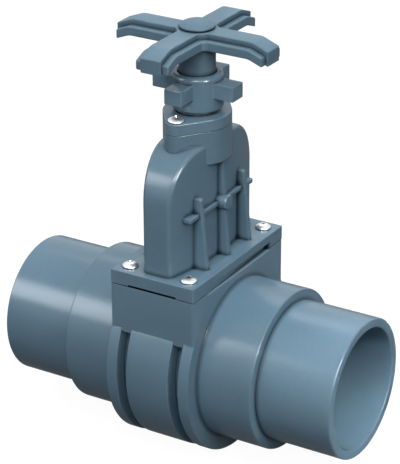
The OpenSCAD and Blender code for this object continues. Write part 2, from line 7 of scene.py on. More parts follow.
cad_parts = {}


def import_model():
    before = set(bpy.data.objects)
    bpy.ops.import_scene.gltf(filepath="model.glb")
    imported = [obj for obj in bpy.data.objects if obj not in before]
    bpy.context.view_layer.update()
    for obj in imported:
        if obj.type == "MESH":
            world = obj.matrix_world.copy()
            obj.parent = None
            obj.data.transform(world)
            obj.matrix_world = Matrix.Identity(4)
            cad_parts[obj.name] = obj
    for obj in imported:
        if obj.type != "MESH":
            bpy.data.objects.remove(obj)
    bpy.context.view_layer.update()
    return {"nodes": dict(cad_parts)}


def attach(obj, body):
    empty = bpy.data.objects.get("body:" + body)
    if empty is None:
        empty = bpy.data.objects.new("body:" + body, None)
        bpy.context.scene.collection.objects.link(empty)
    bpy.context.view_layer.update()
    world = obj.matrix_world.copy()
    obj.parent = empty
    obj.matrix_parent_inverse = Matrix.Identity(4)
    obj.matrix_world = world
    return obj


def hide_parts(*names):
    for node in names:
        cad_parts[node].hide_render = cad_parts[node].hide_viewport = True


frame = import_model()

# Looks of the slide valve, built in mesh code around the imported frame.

MM = 0.001
AXIS_Z = 50.3
TAU = 2 * math.pi

# ---------------------------------------------------------------- sizes, mm from the pipe axis

# Radii end in _R, half sizes have HALF in the name. Further down, the far ends of cutters are
# bare numbers, as they only reach past the material.

# Block of the body and plate of the bonnet: size, corner radii, chamfers of the parting line
BLOCK_X, BLOCK_Y, BLOCK_LOW, BLOCK_TOP = 48.4, 88.4, 22.0, 47.5
BLOCK_EDGE, BLOCK_CHAMFER = 1.2, 0.12
PLATE_EDGE, PLATE_CHAMFER = 0.6, 0.5
PLATE_T = 7.8
PLATE_TOP = BLOCK_TOP + PLATE_T
SCREW_X, SCREW_Y, SCREW_HOLE_R, INSERT_R, INSERT_LOW = 17.0, 36.8, 2.2, 2.9, 36.5

# Slots between them: a thin one in each short side, and a tall one in each long side, whose
# back wall goes from shallow to deep along the side
THIN_SLOT_IN, THIN_SLOT_X, THIN_SLOT_H = 3.0, 27.8, 1.3
TALL_SLOT_Y, TALL_SLOT_H, TALL_SLOT_LOW, TALL_SLOT_LIP = 62.6, 3.5, 0.3, 0.6
TALL_SLOT_SHALLOW, TALL_SLOT_DEEP = 0.6, 2.8

# Gasket groove: half sizes and corner radii of its outer and inner walls, and its floor
GASKET_OUT, GASKET_IN, GASKET_FLOOR = (13.2, 35.4, 3.0), (11.2, 33.4, 1.2), 45.5

# Body: drum with its rims and grooves, hubs; seat pockets, slot and chamber of the gate, nut well
DRUM_R, HUB_R, HUB_HALF, CORE_HALF, RIM_W = 50.3, 41.9, 54.8, 12.4, 6.2
HUB_EDGE = 0.8
SEAT_FRONT_R, SEAT_STEP, SEAT_BACK_R, SEAT_END = 29.9, 10.0, 31.7, 15.0
GATE_HALF_X, GATE_HALF_Y, CHAMBER_R = 7.0, 30.0, 30.0
NUT_WELL_R, NUT_WELL_LOW = 9.4, 33.6

# Sockets
SOCKET_R, SOCKET_BORE_R, SOCKET_END, SOCKET_DEPTH, SOCKET_FIT = 36.4, 31.6, 96.0, 38.0, 0.05
PORT_R = 25.0

# Bonnet: arched housing, upright ribs, cross rib and its boss, neck and ears, o-ring groove
BONNET_X, BONNET_Y, FACE_R, CROWN_Z, SHOULDER_R = 25.4, 79.0, 156.0, 118.0, 26.0
ARCH_EDGE, WALL = 2.4, 2.8
RIB_Y, RIB_T, RIB_FOOT, RIB_HEAD, RIB_TOP = 20.8, 2.9, 18.6, 15.0, 93.0
CROSS_LOW, CROSS_T, CROSS_X, CROSS_HALF, CROSS_HALF_BACK = 82.4, 2.7, 14.4, 30.5, 23.5
KNOB_R, KNOB_OUT, KNOB_Z = 4.0, 18.5, 84.0
NECK_R, NECK_LOW, NECK_TOP = 17.2, 106.6, 124.4
CAVITY_TOP = CROWN_Z - 3
NECK_FLOOR = CAVITY_TOP + 3.5
NECK_BORE_R, STEM_HOLE_R = 12.0, 8.0
EAR_Y, EAR_R, EAR_INSERT_LOW = 20.2, 5.0, 118.9
RING_IN_R, RING_OUT_R, RING_FLOOR = 13.3, 15.3, 122.9

# Gland flange with its threaded spigot, and gland nut
FLANGE_T, FLANGE_HOLE_R = 6.0, 5.8
FLANGE_TOP = NECK_TOP + FLANGE_T
NUT_R, NUT_Z, NUT_H = 13.2, FLANGE_TOP + 2.4, 17.8
NUT_TOP = NUT_Z + NUT_H
LUG_REACH, LUG_HALF, LUG_Z, LUG_H, LUG_ROOT_R = 23.1, 4.95, 6.5, 8.0, 1.2
SPIGOT_R, SPIGOT_TOP, SPIGOT_LEAD = 11.0, NUT_TOP - 6.0, 2.0
PACK_R, PACK_FLOOR = 8.5, FLANGE_TOP - 2
NUT_BORE_R, NUT_ROOF, NUT_HOLE_R, NUT_EASE = 11.1, 2.5, 9.7, 0.5

# Handle: arms, side rails, drooped tips, hub and the recess under the cap
HANDLE_Z, ARM_R, BEND_R, KNEE, TIP_FALL, TIP_T = 172.7, 42.7, 33.7, 1.6, 3.5, 3.4
ARM_HALF, RAIL_HALF, RAIL_DROP, RAIL_H, RAIL_R, TIP_H = 5.6, 9.2, 2.9, 4.8, 41.2, 7.5
RAIL_TOP = HANDLE_Z - RAIL_DROP
RAIL_LOW = RAIL_TOP - RAIL_H
TIP_SLOPE = TIP_FALL / (ARM_R - BEND_R)
HUB_PIN_R = 9.2
HUB_LOW = NUT_TOP - 1.0
DRIVE_Z, DRIVE_HALF, HANDLE_BORE_R = HUB_LOW + 1.5, 3.9, 5.7
RECESS_Z, RECESS_R = HANDLE_Z - 5.5, 6.6
CAP_R, CAP_H, CAP_SIDE, PLUG_R, PLUG_IN_R, PLUG_DEPTH = 8.9, 4.2, 1.5, 6.5, 5.2, 1.6

# Stem: thread, shaft with its thrust collar, square, and the bore for the handle's screw
STEM_R, STEM_LOW, THREAD_R, THREAD_DEPTH, STEM_LEAD = 5.5, 46.0, 4.0, 0.8, 8.0
COLLAR_Z, COLLAR_R, COLLAR_H = NECK_FLOOR + 1.35, 9.5, 3.0
SQUARE_HALF, STEM_BORE_R, STEM_BORE_H = 3.8, 2.5, 10.5

# Pan-head screws
HEAD_R, HEAD_H, SHANK_R, RECESS_DEPTH = 4.0, 2.5, 2.0, 1.4


# ---------------------------------------------------------------- mesh helpers

def to_object(bm, name):
    """New object from a bmesh, with its faces turned outward. The bmesh is used up."""
    bmesh.ops.recalc_face_normals(bm, faces=bm.faces)
    mesh = bpy.data.meshes.new(name)
    bm.to_mesh(mesh)
    bm.free()
    obj = bpy.data.objects.new(name, mesh)
    bpy.context.scene.collection.objects.link(obj)
    return obj


def round_poly(points, radius, steps):
    """Closed polygon with its corners turned into arcs. radius is one number or one per corner."""
    n = len(points)
    radii = radius if isinstance(radius, list) else [radius] * n
    out = []
    for i, point in enumerate(points):
        p, r = Vector(point), radii[i]
        a = (Vector(points[i - 1]) - p).normalized()
        b = (Vector(points[(i + 1) % n]) - p).normalized()
        half = math.acos(max(-1, min(1, a.dot(b)))) / 2
        if r <= 0 or half > math.pi / 2 - 0.01:  # a sharp corner, or hardly a corner at all
            out.append((p.x, p.y))
            continue
        reach = r / math.tan(half)
        mid = (a + b).normalized()
        centre = p + mid * (r / math.sin(half))
        start, end = p + a * reach - centre, p + b * reach - centre
        turn = start.angle_signed(end)
        for k in range(steps + 1):
            ang = -turn * k / steps
            c, s = math.cos(ang), math.sin(ang)
            out.append((centre.x + start.x * c - start.y * s, centre.y + start.x * s + start.y * c))
    return out


def circle(bm, radius, z, segments):
    """Level ring of vertices round the stem axis."""
    angles = [TAU * i / segments for i in range(segments)]
    return [bm.verts.new((radius * math.cos(a), radius * math.sin(a), z)) for a in angles]


def skin(bm, a, b):
    """Faces between two rings of equal count; a ring of one vertex is a point."""
    n = max(len(a), len(b))
    for i in range(n):
        j = (i + 1) % n
        if len(a) > 1 and len(b) > 1:
            bm.faces.new((a[i], a[j], b[j], b[i]))
        elif len(a) > 1:
            bm.faces.new((a[i], a[j], b[0]))
        elif len(b) > 1:
            bm.faces.new((a[0], b[j], b[i]))


def lathe(name, profile, axis="Z", segments=96, closed=True):
    """Turned solid. profile holds (radius, height) points; closed joins the last to the first."""
    bm = bmesh.new()
    rings = [
        circle(bm, r, h, segments) if r >= 1e-6 else [bm.verts.new((0, 0, h))] for r, h in profile
    ]
    pairs = list(zip(rings, rings[1:]))
    if closed:
        pairs.append((rings[-1], rings[0]))
    for a, b in pairs:
        skin(bm, a, b)
    if axis == "X":  # heights become x, and the profile turns about the pipe
        bm.transform(Matrix(((0, 0, 1, 0), (1, 0, 0, 0), (0, 1, 0, 0), (0, 0, 0, 1))))
    return to_object(bm, name)


def drill(name, radius, low, high, segments=32, at=(0, 0)):
    """Cutter of an upright round hole."""
    corners = [(0, low), (radius, low), (radius, high), (0, high)]
    return moved(lathe(name, corners, "Z", segments, False), Matrix.Translation((*at, 0)))


def boss(name, radius, low, high, edges, steps, segments, axis="Z"):
    """Round solid; edges holds the radii of its lower and upper edge."""
    corners = [(0, low), (radius, low), (radius, high), (0, high)]
    return lathe(name, round_poly(corners, [0, *edges, 0], steps), axis, segments, False)


def bevel_sharp(bm, radius, steps):
    """Rounds every edge where the surface turns by more than about 34 degrees."""
    edges = [e for e in bm.edges if len(e.link_faces) == 2 and e.calc_face_angle(0) > 0.6]
    bmesh.ops.bevel(
        bm, geom=edges, offset=radius, offset_type="OFFSET", segments=steps, profile=0.5,
        affect="EDGES", clamp_overlap=True,
    )


def prism_mesh(points, low, high, radius=0.0, steps=3):
    """Upright prism over a plan, with its sharp edges rounded."""
    bm = bmesh.new()
    base = [bm.verts.new((x, y, low)) for x, y in points]
    top = [bm.verts.new((x, y, high)) for x, y in points]
    bm.faces.new(base[::-1])
    bm.faces.new(top)
    skin(bm, base, top)
    bmesh.ops.recalc_face_normals(bm, faces=bm.faces)
    if radius > 0:
        bevel_sharp(bm, radius, steps)
    return bm


def prism(name, points, low, high, radius=0.0, steps=3):
    return to_object(prism_mesh(points, low, high, radius, steps), name)


def box(name, x0, x1, y0, y1, z0, z1, radius=0.0, steps=3):
    return prism(name, [(x0, y0), (x1, y0), (x1, y1), (x0, y1)], z0, z1, radius, steps)


def rect(half_x, half_y):
    """Corners of a rectangle round the origin."""
    return [(-half_x, -half_y), (half_x, -half_y), (half_x, half_y), (-half_x, half_y)]


def moved(obj, matrix):
    """The object with the matrix worked into its mesh."""
    obj.data.transform(matrix)
    return obj


def turned(obj, degrees):
    """The object turned about the stem axis."""
    return moved(obj, Matrix.Rotation(math.radians(degrees), 4, "Z"))


def copy_of(obj, matrix):
    """Copy of the object, with the matrix worked into its mesh."""
    twin = obj.copy()
    twin.data = obj.data.copy()
    twin.data.transform(matrix)
    bpy.context.scene.collection.objects.link(twin)
    return twin


def combine(target, tools, operation):
    """Boolean of target with every tool at once; the tools are used up."""
    group = bpy.data.collections.new("tools")
    bpy.context.scene.collection.children.link(group)
    for tool in tools:
        group.objects.link(tool)
    mod = target.modifiers.new("boolean", "BOOLEAN")
    mod.operand_type = "COLLECTION"
    mod.collection = group
    mod.operation = operation
    mod.solver = "EXACT"
    bpy.context.view_layer.update()
    graph = bpy.context.evaluated_depsgraph_get()
    mesh = bpy.data.meshes.new_from_object(target.evaluated_get(graph))
    target.modifiers.clear()
    target.data = mesh
    for tool in tools:
        bpy.data.objects.remove(tool)
    bpy.data.collections.remove(group)
    return target


def union(target, *tools):
    return combine(target, tools, "UNION")


def cut(target, *tools):
    return combine(target, tools, "DIFFERENCE")


def joined(name, parts):
    """Several closed shells as one mesh object."""
    bm = bmesh.new()
    for part in parts:
        bm.from_mesh(part.data)
        bpy.data.objects.remove(part)
    return to_object(bm, name)


# Shading breaks at turns of SHARP, and at FLAT_RIM round plane faces over FLAT_AREA (square mm);
# vertices closer than WELD become one
SHARP, FLAT_RIM, FLAT_AREA, WELD = math.radians(34), math.radians(10), 60, 0.0005


def crease(edge, flat):
    """True where shading breaks: at sharp edges and, with flat, at the rim of large plane faces."""
    if len(edge.link_faces) != 2:
        return True
    large = max(face.calc_area() for face in edge.link_faces) > FLAT_AREA
    return edge.calc_face_angle(0) >= (FLAT_RIM if flat and large else SHARP)


def finish(obj, name, body, material, nodes, flat=False):
    """Metres, smooth shading with true sharp edges, material, body and replaced nodes."""
    obj.name = name
    obj.data.name = name
    bm = bmesh.new()
    bm.from_mesh(obj.data)
    bmesh.ops.remove_doubles(bm, verts=bm.verts, dist=WELD)
    bmesh.ops.dissolve_degenerate(bm, edges=bm.edges, dist=WELD)
    loose = [v for v in bm.verts if not v.link_faces]
    bmesh.ops.delete(bm, geom=loose, context="VERTS")
    for face in bm.faces:
        face.smooth = True
    for edge in bm.edges:
        edge.smooth = not crease(edge, flat)
    bm.transform(Matrix.Scale(MM, 4) @ Matrix.Translation((0, 0, AXIS_Z)))
    bm.to_mesh(obj.data)
    bm.free()
    weighted = obj.modifiers.new("normals", "WEIGHTED_NORMAL")
    weighted.keep_sharp = True
    weighted.mode = "FACE_AREA"
    weighted.weight = 100
    obj.data.materials.clear()
    obj.data.materials.append(material)
    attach(obj, body)
    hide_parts(*nodes)


# ---------------------------------------------------------------- materials

def cleared(block, output):
    """Node tree of a material or world, emptied but for its output node."""
    block.use_nodes = True
    tree = block.node_tree
    tree.nodes.clear()
    return tree, tree.nodes.new(output)


def new_material(name):
    """Empty material with one Principled shader."""
    mat = bpy.data.materials.new(name)
    tree, out = cleared(mat, "ShaderNodeOutputMaterial")
    bsdf = tree.nodes.new("ShaderNodeBsdfPrincipled")
    tree.links.new(bsdf.outputs[0], out.inputs[0])
    return mat, tree, bsdf


def scaled(colour, factor, plus=0.0):
    """Colour made darker or paler."""
    return tuple(c * factor + plus for c in colour)


def noise(tree, scale, detail):
    """Noise over the object's own coordinates, in metres."""
    coords = tree.nodes.new("ShaderNodeTexCoord")
    tex = tree.nodes.new("ShaderNodeTexNoise")
    tex.inputs["Scale"].default_value = scale
    tex.inputs["Detail"].default_value = detail
    tex.inputs["Roughness"].default_value = 0.55
    tree.links.new(coords.outputs["Object"], tex.inputs[0])
    return tex.outputs["Fac"]


def ramp(tree, value, stops):
    """Colour ramp; stops holds (position, colour) pairs."""
    node = tree.nodes.new("ShaderNodeValToRGB")
    for i, (pos, colour) in enumerate(stops):
        el = node.color_ramp.elements[i] if i < 2 else node.color_ramp.elements.new(pos)
        el.position = pos
        el.color = (*colour, 1)
    tree.links.new(value, node.inputs[0])
    return node.outputs[0]


def mapped(tree, value, low, high):
    """0 to 1 spread over low to high."""
    node = tree.nodes.new("ShaderNodeMapRange")
    node.inputs["To Min"].default_value = low
    node.inputs["To Max"].default_value = high
    tree.links.new(value, node.inputs[0])
    return node.outputs[0]


def mix(tree, a, b, factor, mode="MIX"):
    """Blend of two colours; each of a, b and factor is a value or a socket."""
    node = tree.nodes.new("ShaderNodeMix")
    node.data_type = "RGBA"
    node.blend_type = mode
    for value, socket in ((factor, node.inputs[0]), (a, node.inputs[6]), (b, node.inputs[7])):
        if isinstance(value, (int, float)):
            socket.default_value = value
        elif isinstance(value, tuple):
            socket.default_value = (*value, 1)
        else:
            tree.links.new(value, socket)
    return node.outputs[2]


def bump(tree, bsdf, value, strength, distance):
    """Relief of the surface from a noise; distance in metres."""
    node = tree.nodes.new("ShaderNodeBump")
    node.inputs["Strength"].default_value = strength
    node.inputs["Distance"].default_value = distance
    tree.links.new(value, node.inputs["Height"])
    tree.links.new(node.outputs[0], bsdf.inputs["Normal"])


def painted_crevice_shade(tree, reach, dark, low, high):
    """Painted shade: grey factor from ambient occlusion that falls to dark in corners, grooves and
    under edges.
    """
    ao = tree.nodes.new("ShaderNodeAmbientOcclusion")
    ao.samples = 16
    ao.inputs["Distance"].default_value = reach
    return ramp(tree, ao.outputs["AO"], [(low, (dark,) * 3), (high, (1, 1, 1))])


def moulded(name, base, rough=(0.18, 0.266), crevice_shade_tone=0.10, specular=0.30, reach=0.0034):
    """Moulded plastic: slight colour drift, fine grain, painted shade in crevices, painted
    highlight on edges.

    rough is the range of the roughness; the crevice tone sets the darkness of the painted shade in
    crevices within reach (metres).
    """
    mat, tree, bsdf = new_material(name)
    low, high, pale = scaled(base, 0.94), scaled(base, 1.06), scaled(base, 1.25, 0.02)
    colour = ramp(tree, noise(tree, 22, 4), [(0.3, low), (0.7, high)])
    grain = ramp(tree, noise(tree, 900, 2), [(0.35, (0.96, 0.96, 0.96)), (0.65, (1, 1, 1))])
    colour = mix(tree, colour, grain, 1.0, "MULTIPLY")
    # Painted highlight: by pointiness, edges turn towards a paler copy of the base, standing in for
    # light caught on rounded edges
    point = tree.nodes.new("ShaderNodeNewGeometry").outputs["Pointiness"]
    painted_edge_highlight = ramp(tree, point, [(0.52, (0, 0, 0)), (0.60, (1, 1, 1))])
    colour = mix(tree, colour, pale, mapped(tree, painted_edge_highlight, 0.0, 0.45))
    # Painted shade: the colour darkened by ambient occlusion in corners, grooves and under edges
    colour = mix(tree, colour, painted_crevice_shade(tree, reach, crevice_shade_tone, 0.40, 0.90), 1.0, "MULTIPLY")
    tree.links.new(colour, bsdf.inputs["Base Color"])
    tree.links.new(mapped(tree, noise(tree, 60, 4), *rough), bsdf.inputs["Roughness"])
    bsdf.inputs["Specular IOR Level"].default_value = specular
    bump(tree, bsdf, noise(tree, 2600, 2), 0.08, 0.0002)
    return mat


def metal(name, base, rough):
    """Bare metal: slight tarnish, painted shade in crevices, fine grain."""
    mat, tree, bsdf = new_material(name)
    colour = ramp(tree, noise(tree, 300, 3), [(0.3, scaled(base, 0.88)), (0.7, base)])
    # Painted shade: the colour darkened by ambient occlusion in crevices
    colour = mix(tree, colour, painted_crevice_shade(tree, 0.0016, 0.03, 0.45, 0.85), 1.0, "MULTIPLY")
    tree.links.new(colour, bsdf.inputs["Base Color"])
    bsdf.inputs["Metallic"].default_value = 1.0
    tree.links.new(mapped(tree, noise(tree, 900, 3), *rough), bsdf.inputs["Roughness"])
    bump(tree, bsdf, noise(tree, 1800, 3), 0.06, 0.0001)
    return mat


def rubber_like(name, base):
    """Dull rubber with a dusty drift and a rough skin."""
    mat, tree, bsdf = new_material(name)
    colour = ramp(tree, noise(tree, 120, 4), [(0.3, base), (0.7, scaled(base, 1.5))])
    tree.links.new(colour, bsdf.inputs["Base Color"])
    tree.links.new(mapped(tree, noise(tree, 400, 3), 0.6, 0.8), bsdf.inputs["Roughness"])
    bump(tree, bsdf, noise(tree, 1500, 3), 0.2, 0.0001)
    return mat


# The mouldings of one grey-blue plastic differ a little in gloss. Their tones differ only as
# painted light: the handle's is darker as painted shade, the tubes' a little and the gland's more
# are lighter as painted light, and the gland's painted crevice shade reaches less far. A range of
# roughness lies wholly under 0.27 or over 0.28, because the denoiser treats the two differently
PVC = moulded("pvc", (0.120, 0.203, 0.266))
PVC_HANDLE_SHADED = moulded("pvc_handle", (0.108, 0.180, 0.233), rough=(0.40, 0.50), specular=0.15)
PVC_GLAND_LIT = moulded("pvc_gland", (0.132, 0.222, 0.290), reach=0.0016)
PVC_TUBE_LIT = moulded("pvc_tube", (0.122, 0.207, 0.273))
ACETAL = moulded("acetal", (0.78, 0.77, 0.72), rough=(0.35, 0.5), crevice_shade_tone=0.5)
STEEL = metal("steel", (0.88, 0.89, 0.90), (0.285, 0.38))
BRASS = metal("brass", (0.80, 0.60, 0.30), (0.285, 0.4))
RUBBER = rubber_like("rubber", (0.012, 0.012, 0.013))


# ---------------------------------------------------------------- body

def body_piece():
    """Drum, hubs and block, with the hollows for sockets, seats, gate, stem nut and screws."""
    half = BLOCK_X / 2
    outer = round_poly(
        [
            (0, -HUB_HALF), (HUB_R, -HUB_HALF), (HUB_R, -half), (DRUM_R, -half),
            (DRUM_R, -half + RIM_W), (HUB_R, -half + RIM_W),
            (HUB_R, -CORE_HALF), (DRUM_R, -CORE_HALF), (DRUM_R, CORE_HALF), (HUB_R, CORE_HALF),
            (HUB_R, half - RIM_W), (DRUM_R, half - RIM_W),
            (DRUM_R, half), (HUB_R, half), (HUB_R, HUB_HALF), (0, HUB_HALF),
        ],
        [0, HUB_EDGE, 0.2, 0.6, 0.5, 0.3, 0.3, 0.5, 0.5, 0.3, 0.3, 0.5, 0.6, 0.2, HUB_EDGE, 0],
        4,
    )
    shell = lathe("drum", outer, "X", 144, closed=False)
    plan = round_poly(rect(half, BLOCK_Y / 2), BLOCK_EDGE, 4)
    shell = union(shell, prism("block", plan, BLOCK_LOW, BLOCK_TOP + 8))

    tools = [box("top", -60, 60, -60, 60, BLOCK_TOP, 90)]
    fit_r = SOCKET_R + SOCKET_FIT
    pocket = [
        (0, 0), (SEAT_FRONT_R, 0), (SEAT_FRONT_R, SEAT_STEP), (SEAT_BACK_R, SEAT_STEP),
        (SEAT_BACK_R, SEAT_END), (fit_r, SEAT_END), (fit_r, 70), (0, 70),
    ]
    for turn in (0, 180):
        tools.append(turned(lathe("pocket", pocket, "X", 144, closed=False), turn))
    gate_x, gate_y = GATE_HALF_X, GATE_HALF_Y
    chamber = [(0, -gate_x), (CHAMBER_R, -gate_x), (CHAMBER_R, gate_x), (0, gate_x)]
    tools.append(lathe("chamber", chamber, "X", 144, closed=False))
    # The slot starts a hair off the pipe axis, so that none of its faces meets a chamber vertex
    tools.append(box("slot", -gate_x, gate_x, -gate_y, gate_y, 0.013, 60))
    tools.append(drill("well", NUT_WELL_R, NUT_WELL_LOW, 60, 64))
    tools += tall_slots()
    for sx in (-1, 1):
        for sy in (-1, 1):
            tools.append(drill("hole", INSERT_R, INSERT_LOW, 60, at=(sx * SCREW_X, sy * SCREW_Y)))
    shell = cut(shell, *tools)

    x, y, radius = GASKET_OUT
    ring = prism("ring", round_poly(rect(x, y), radius, 4), GASKET_FLOOR, 60)
    x, y, radius = GASKET_IN
    ring = cut(ring, prism("inner", round_poly(rect(x, y), radius, 4), 40, 70))
    shell = cut(shell, ring)
    return edge_groove(shell, BLOCK_TOP, -1, BLOCK_EDGE, BLOCK_CHAMFER)


def tall_slots():
    """Cutters of the tall slots: chamfered lower lip, back wall that deepens along the side."""
    edge, lip = BLOCK_X / 2, TALL_SLOT_LIP
    floor, roof = BLOCK_TOP - TALL_SLOT_LOW, BLOCK_TOP + TALL_SLOT_H
    section = [
        (edge - 1, floor), (edge - lip, floor), (edge + lip, floor - 2 * lip),
        (edge + 3, floor - 2 * lip), (edge + 3, roof), (edge - 1, roof),
    ]
    upright = Matrix.Rotation(math.pi / 2, 4, "X")
    cutters = []
    for turn in (0, 180):
        cutter = moved(prism("tall", section, -TALL_SLOT_Y / 2, TALL_SLOT_Y / 2), upright)
        for vert in cutter.data.vertices:
            if vert.co.x < edge - 0.9:  # the back wall, which stands at edge - 1 so far
                vert.co.x = edge - (TALL_SLOT_DEEP if vert.co.y > 0 else TALL_SLOT_SHALLOW)
        cutters.append(turned(cutter, turn))
    return cutters


def edge_groove(obj, height, side, radius, c):
    """Chamfer c along the rim at this height, which makes the parting line.

    side is -1 for the block's upper rim and 1 for the plate's lower one; radius is that of the
    upright corners. Only the cutter's last slope, from (-c, 0) to (0, -c), touches the piece.
    """
    x, y = BLOCK_X / 2, BLOCK_Y / 2
    bm = bmesh.new()
    rings = []
    out = 0.6
    for grow, rise in ((out, -c - out), (out, out), (-c - 0.4, out), (-c, 0.0), (0, -c)):
        plan = round_poly(rect(x + grow, y + grow), max(radius + grow, 0.1), 4)
        rings.append([bm.verts.new((px, py, height - side * rise)) for px, py in plan])
    for a, b in zip(rings, rings[1:] + rings[:1]):
        skin(bm, a, b)
    return cut(obj, to_object(bm, "groove"))


# ---------------------------------------------------------------- sockets

def socket_piece(turn):
    """End sleeve with the bore for the pipe, cemented into its hub."""
    profile = round_poly(
        [
            (PORT_R, SEAT_END), (SOCKET_R, SEAT_END), (SOCKET_R, SOCKET_END),
            (SOCKET_BORE_R, SOCKET_END), (SOCKET_BORE_R, SOCKET_END - SOCKET_DEPTH),
            (PORT_R, SOCKET_END - SOCKET_DEPTH),
        ],
        [0.3, 0.6, 0.9, 0.7, 0.3, 0.5],
        5,
    )
    return turned(lathe("socket", profile, "X", 160), turn)


# ---------------------------------------------------------------- bonnet

def arch_shell(name, width, crown, shoulder, thick, face_r, edge_r, low):
    """Arched housing with convex broad faces and a rounding all along the arch.

    face_r is the radius of the broad faces, edge_r that of the rounding, shoulder that of the
    arch's corners. The outline is walked up the left side, over the crown and down the right.
    """
    rows, arc, columns, steps = 8, 18, 28, 6
    half_w = width / 2

    def half_x(y):
        """Half the thickness at y."""
        return thick / 2 - face_r + math.sqrt(face_r ** 2 - y ** 2)

    # (y, z) and the outward direction of each point of the outline
    left = []
    for i in range(rows):
        left.append(((-half_w, low + (crown - shoulder - low) * i / rows), (-1.0, 0.0)))
    for i in range(arc + 1):
        ang = math.pi - (math.pi / 2) * i / arc
        n = (math.cos(ang), math.sin(ang))
        left.append(((-half_w + shoulder + shoulder * n[0], crown - shoulder + shoulder * n[1]), n))
    crown_half = half_w - shoulder
    outline = list(left)
    for k in range(1, columns):
        outline.append(((-crown_half + 2 * crown_half * k / columns, crown), (0.0, 1.0)))
    outline += [((-p[0], p[1]), (-n[0], n[1])) for p, n in reversed(left)]

    # Across each point of the outline, a chain of vertices from one broad face to the other
    bm = bmesh.new()
    chains, inner = [], []
    for (y, z), (ny, nz) in outline:
        slope = math.atan(y * ny / math.sqrt(face_r ** 2 - y ** 2))
        centre_x = half_x(y) + math.tan(slope) * edge_r - edge_r / math.cos(slope)
        chain = []
        for k in range(steps + 1):
            th = slope + (math.pi / 2 - slope) * k / steps
            m = -edge_r + edge_r * math.sin(th)
            chain.append((centre_x + edge_r * math.cos(th), y + ny * m, z + nz * m))
        inner.append((chain[0][1], chain[0][2]))
        mirror = [(-x, py, pz) for x, py, pz in reversed(chain)]
        chains.append([bm.verts.new(p) for p in chain + mirror])
    for a, b in zip(chains, chains[1:]):
        for k in range(len(a) - 1):
            bm.faces.new((a[k], a[k + 1], b[k + 1], b[k]))

    # The two broad faces, row by row between the ends of the chains, and the level underside
    count = len(left)
    feet = []
    for side, sign in ((0, 1), (-1, -1)):
        grid = []
        for i in range(count):
            other = len(outline) - 1 - i
            row = [chains[i][side]]
            y0, y1, z = inner[i][0], inner[other][0], inner[i][1]
            for k in range(1, columns):
                if i == count - 1:
                    row.append(chains[count - 1 + k][side])
                else:
                    y = y0 + (y1 - y0) * k / columns
                    row.append(bm.verts.new((sign * half_x(y), y, z)))
            row.append(chains[other][side])
            grid.append(row)
        for a, b in zip(grid, grid[1:]):
            for k in range(columns):
                bm.faces.new((a[k], a[k + 1], b[k + 1], b[k]))
        feet.append(grid[0])
    (front, back), first, last = feet, chains[0], chains[-1]
    bm.faces.new(front + last[1:-1] + back[::-1] + first[1:-1][::-1])
    return to_object(bm, name)


def upright_rib(top, y):
    """Gusset rib on the +X face: sloping front, rounded head and foot edges."""
    root, low = BONNET_X / 2 - 2.5, PLATE_TOP - 1
    plan = round_poly(
        [(root, low), (RIB_FOOT, low), (RIB_FOOT, PLATE_TOP + 0.8), (RIB_HEAD, top), (root, top)],
        [0, 0, 0.8, 1.6, 0],
        5,
    )
    bm = prism_mesh(plan, -RIB_T / 2, RIB_T / 2, 0.6, 3)
    bm.transform(Matrix.Translation((0, y, 0)) @ Matrix.Rotation(math.pi / 2, 4, "X"))
    return to_object(bm, "rib")


def cross_rib(half_y):
    """Level rib on the +X face, with a flat front and rounded edges and ends."""
    bm = prism_mesh(rect(CROSS_X / 2, half_y), CROSS_LOW, CROSS_LOW + CROSS_T, 0.7, 3)
    bm.transform(Matrix.Translation((CROSS_X / 2, 0, 0)))
    return to_object(bm, "cross")


def ear_points(steps):
    """Plan of neck and ears: round middle, round ears, tangent sides; steps for each ear."""
    reach = math.acos((NECK_R - EAR_R) / EAR_Y)
    points = []
    for sign in (1, -1):
        base = sign * math.pi / 2
        for k in range(steps + 1):
            a = base - reach + 2 * reach * k / steps
            points.append((EAR_R * math.cos(a), sign * EAR_Y + EAR_R * math.sin(a)))
        start, end = base + reach, base + math.pi - reach
        for k in range(1, 16):
            a = start + (end - start) * k / 16
            points.append((NECK_R * math.cos(a), NECK_R * math.sin(a)))
    return points


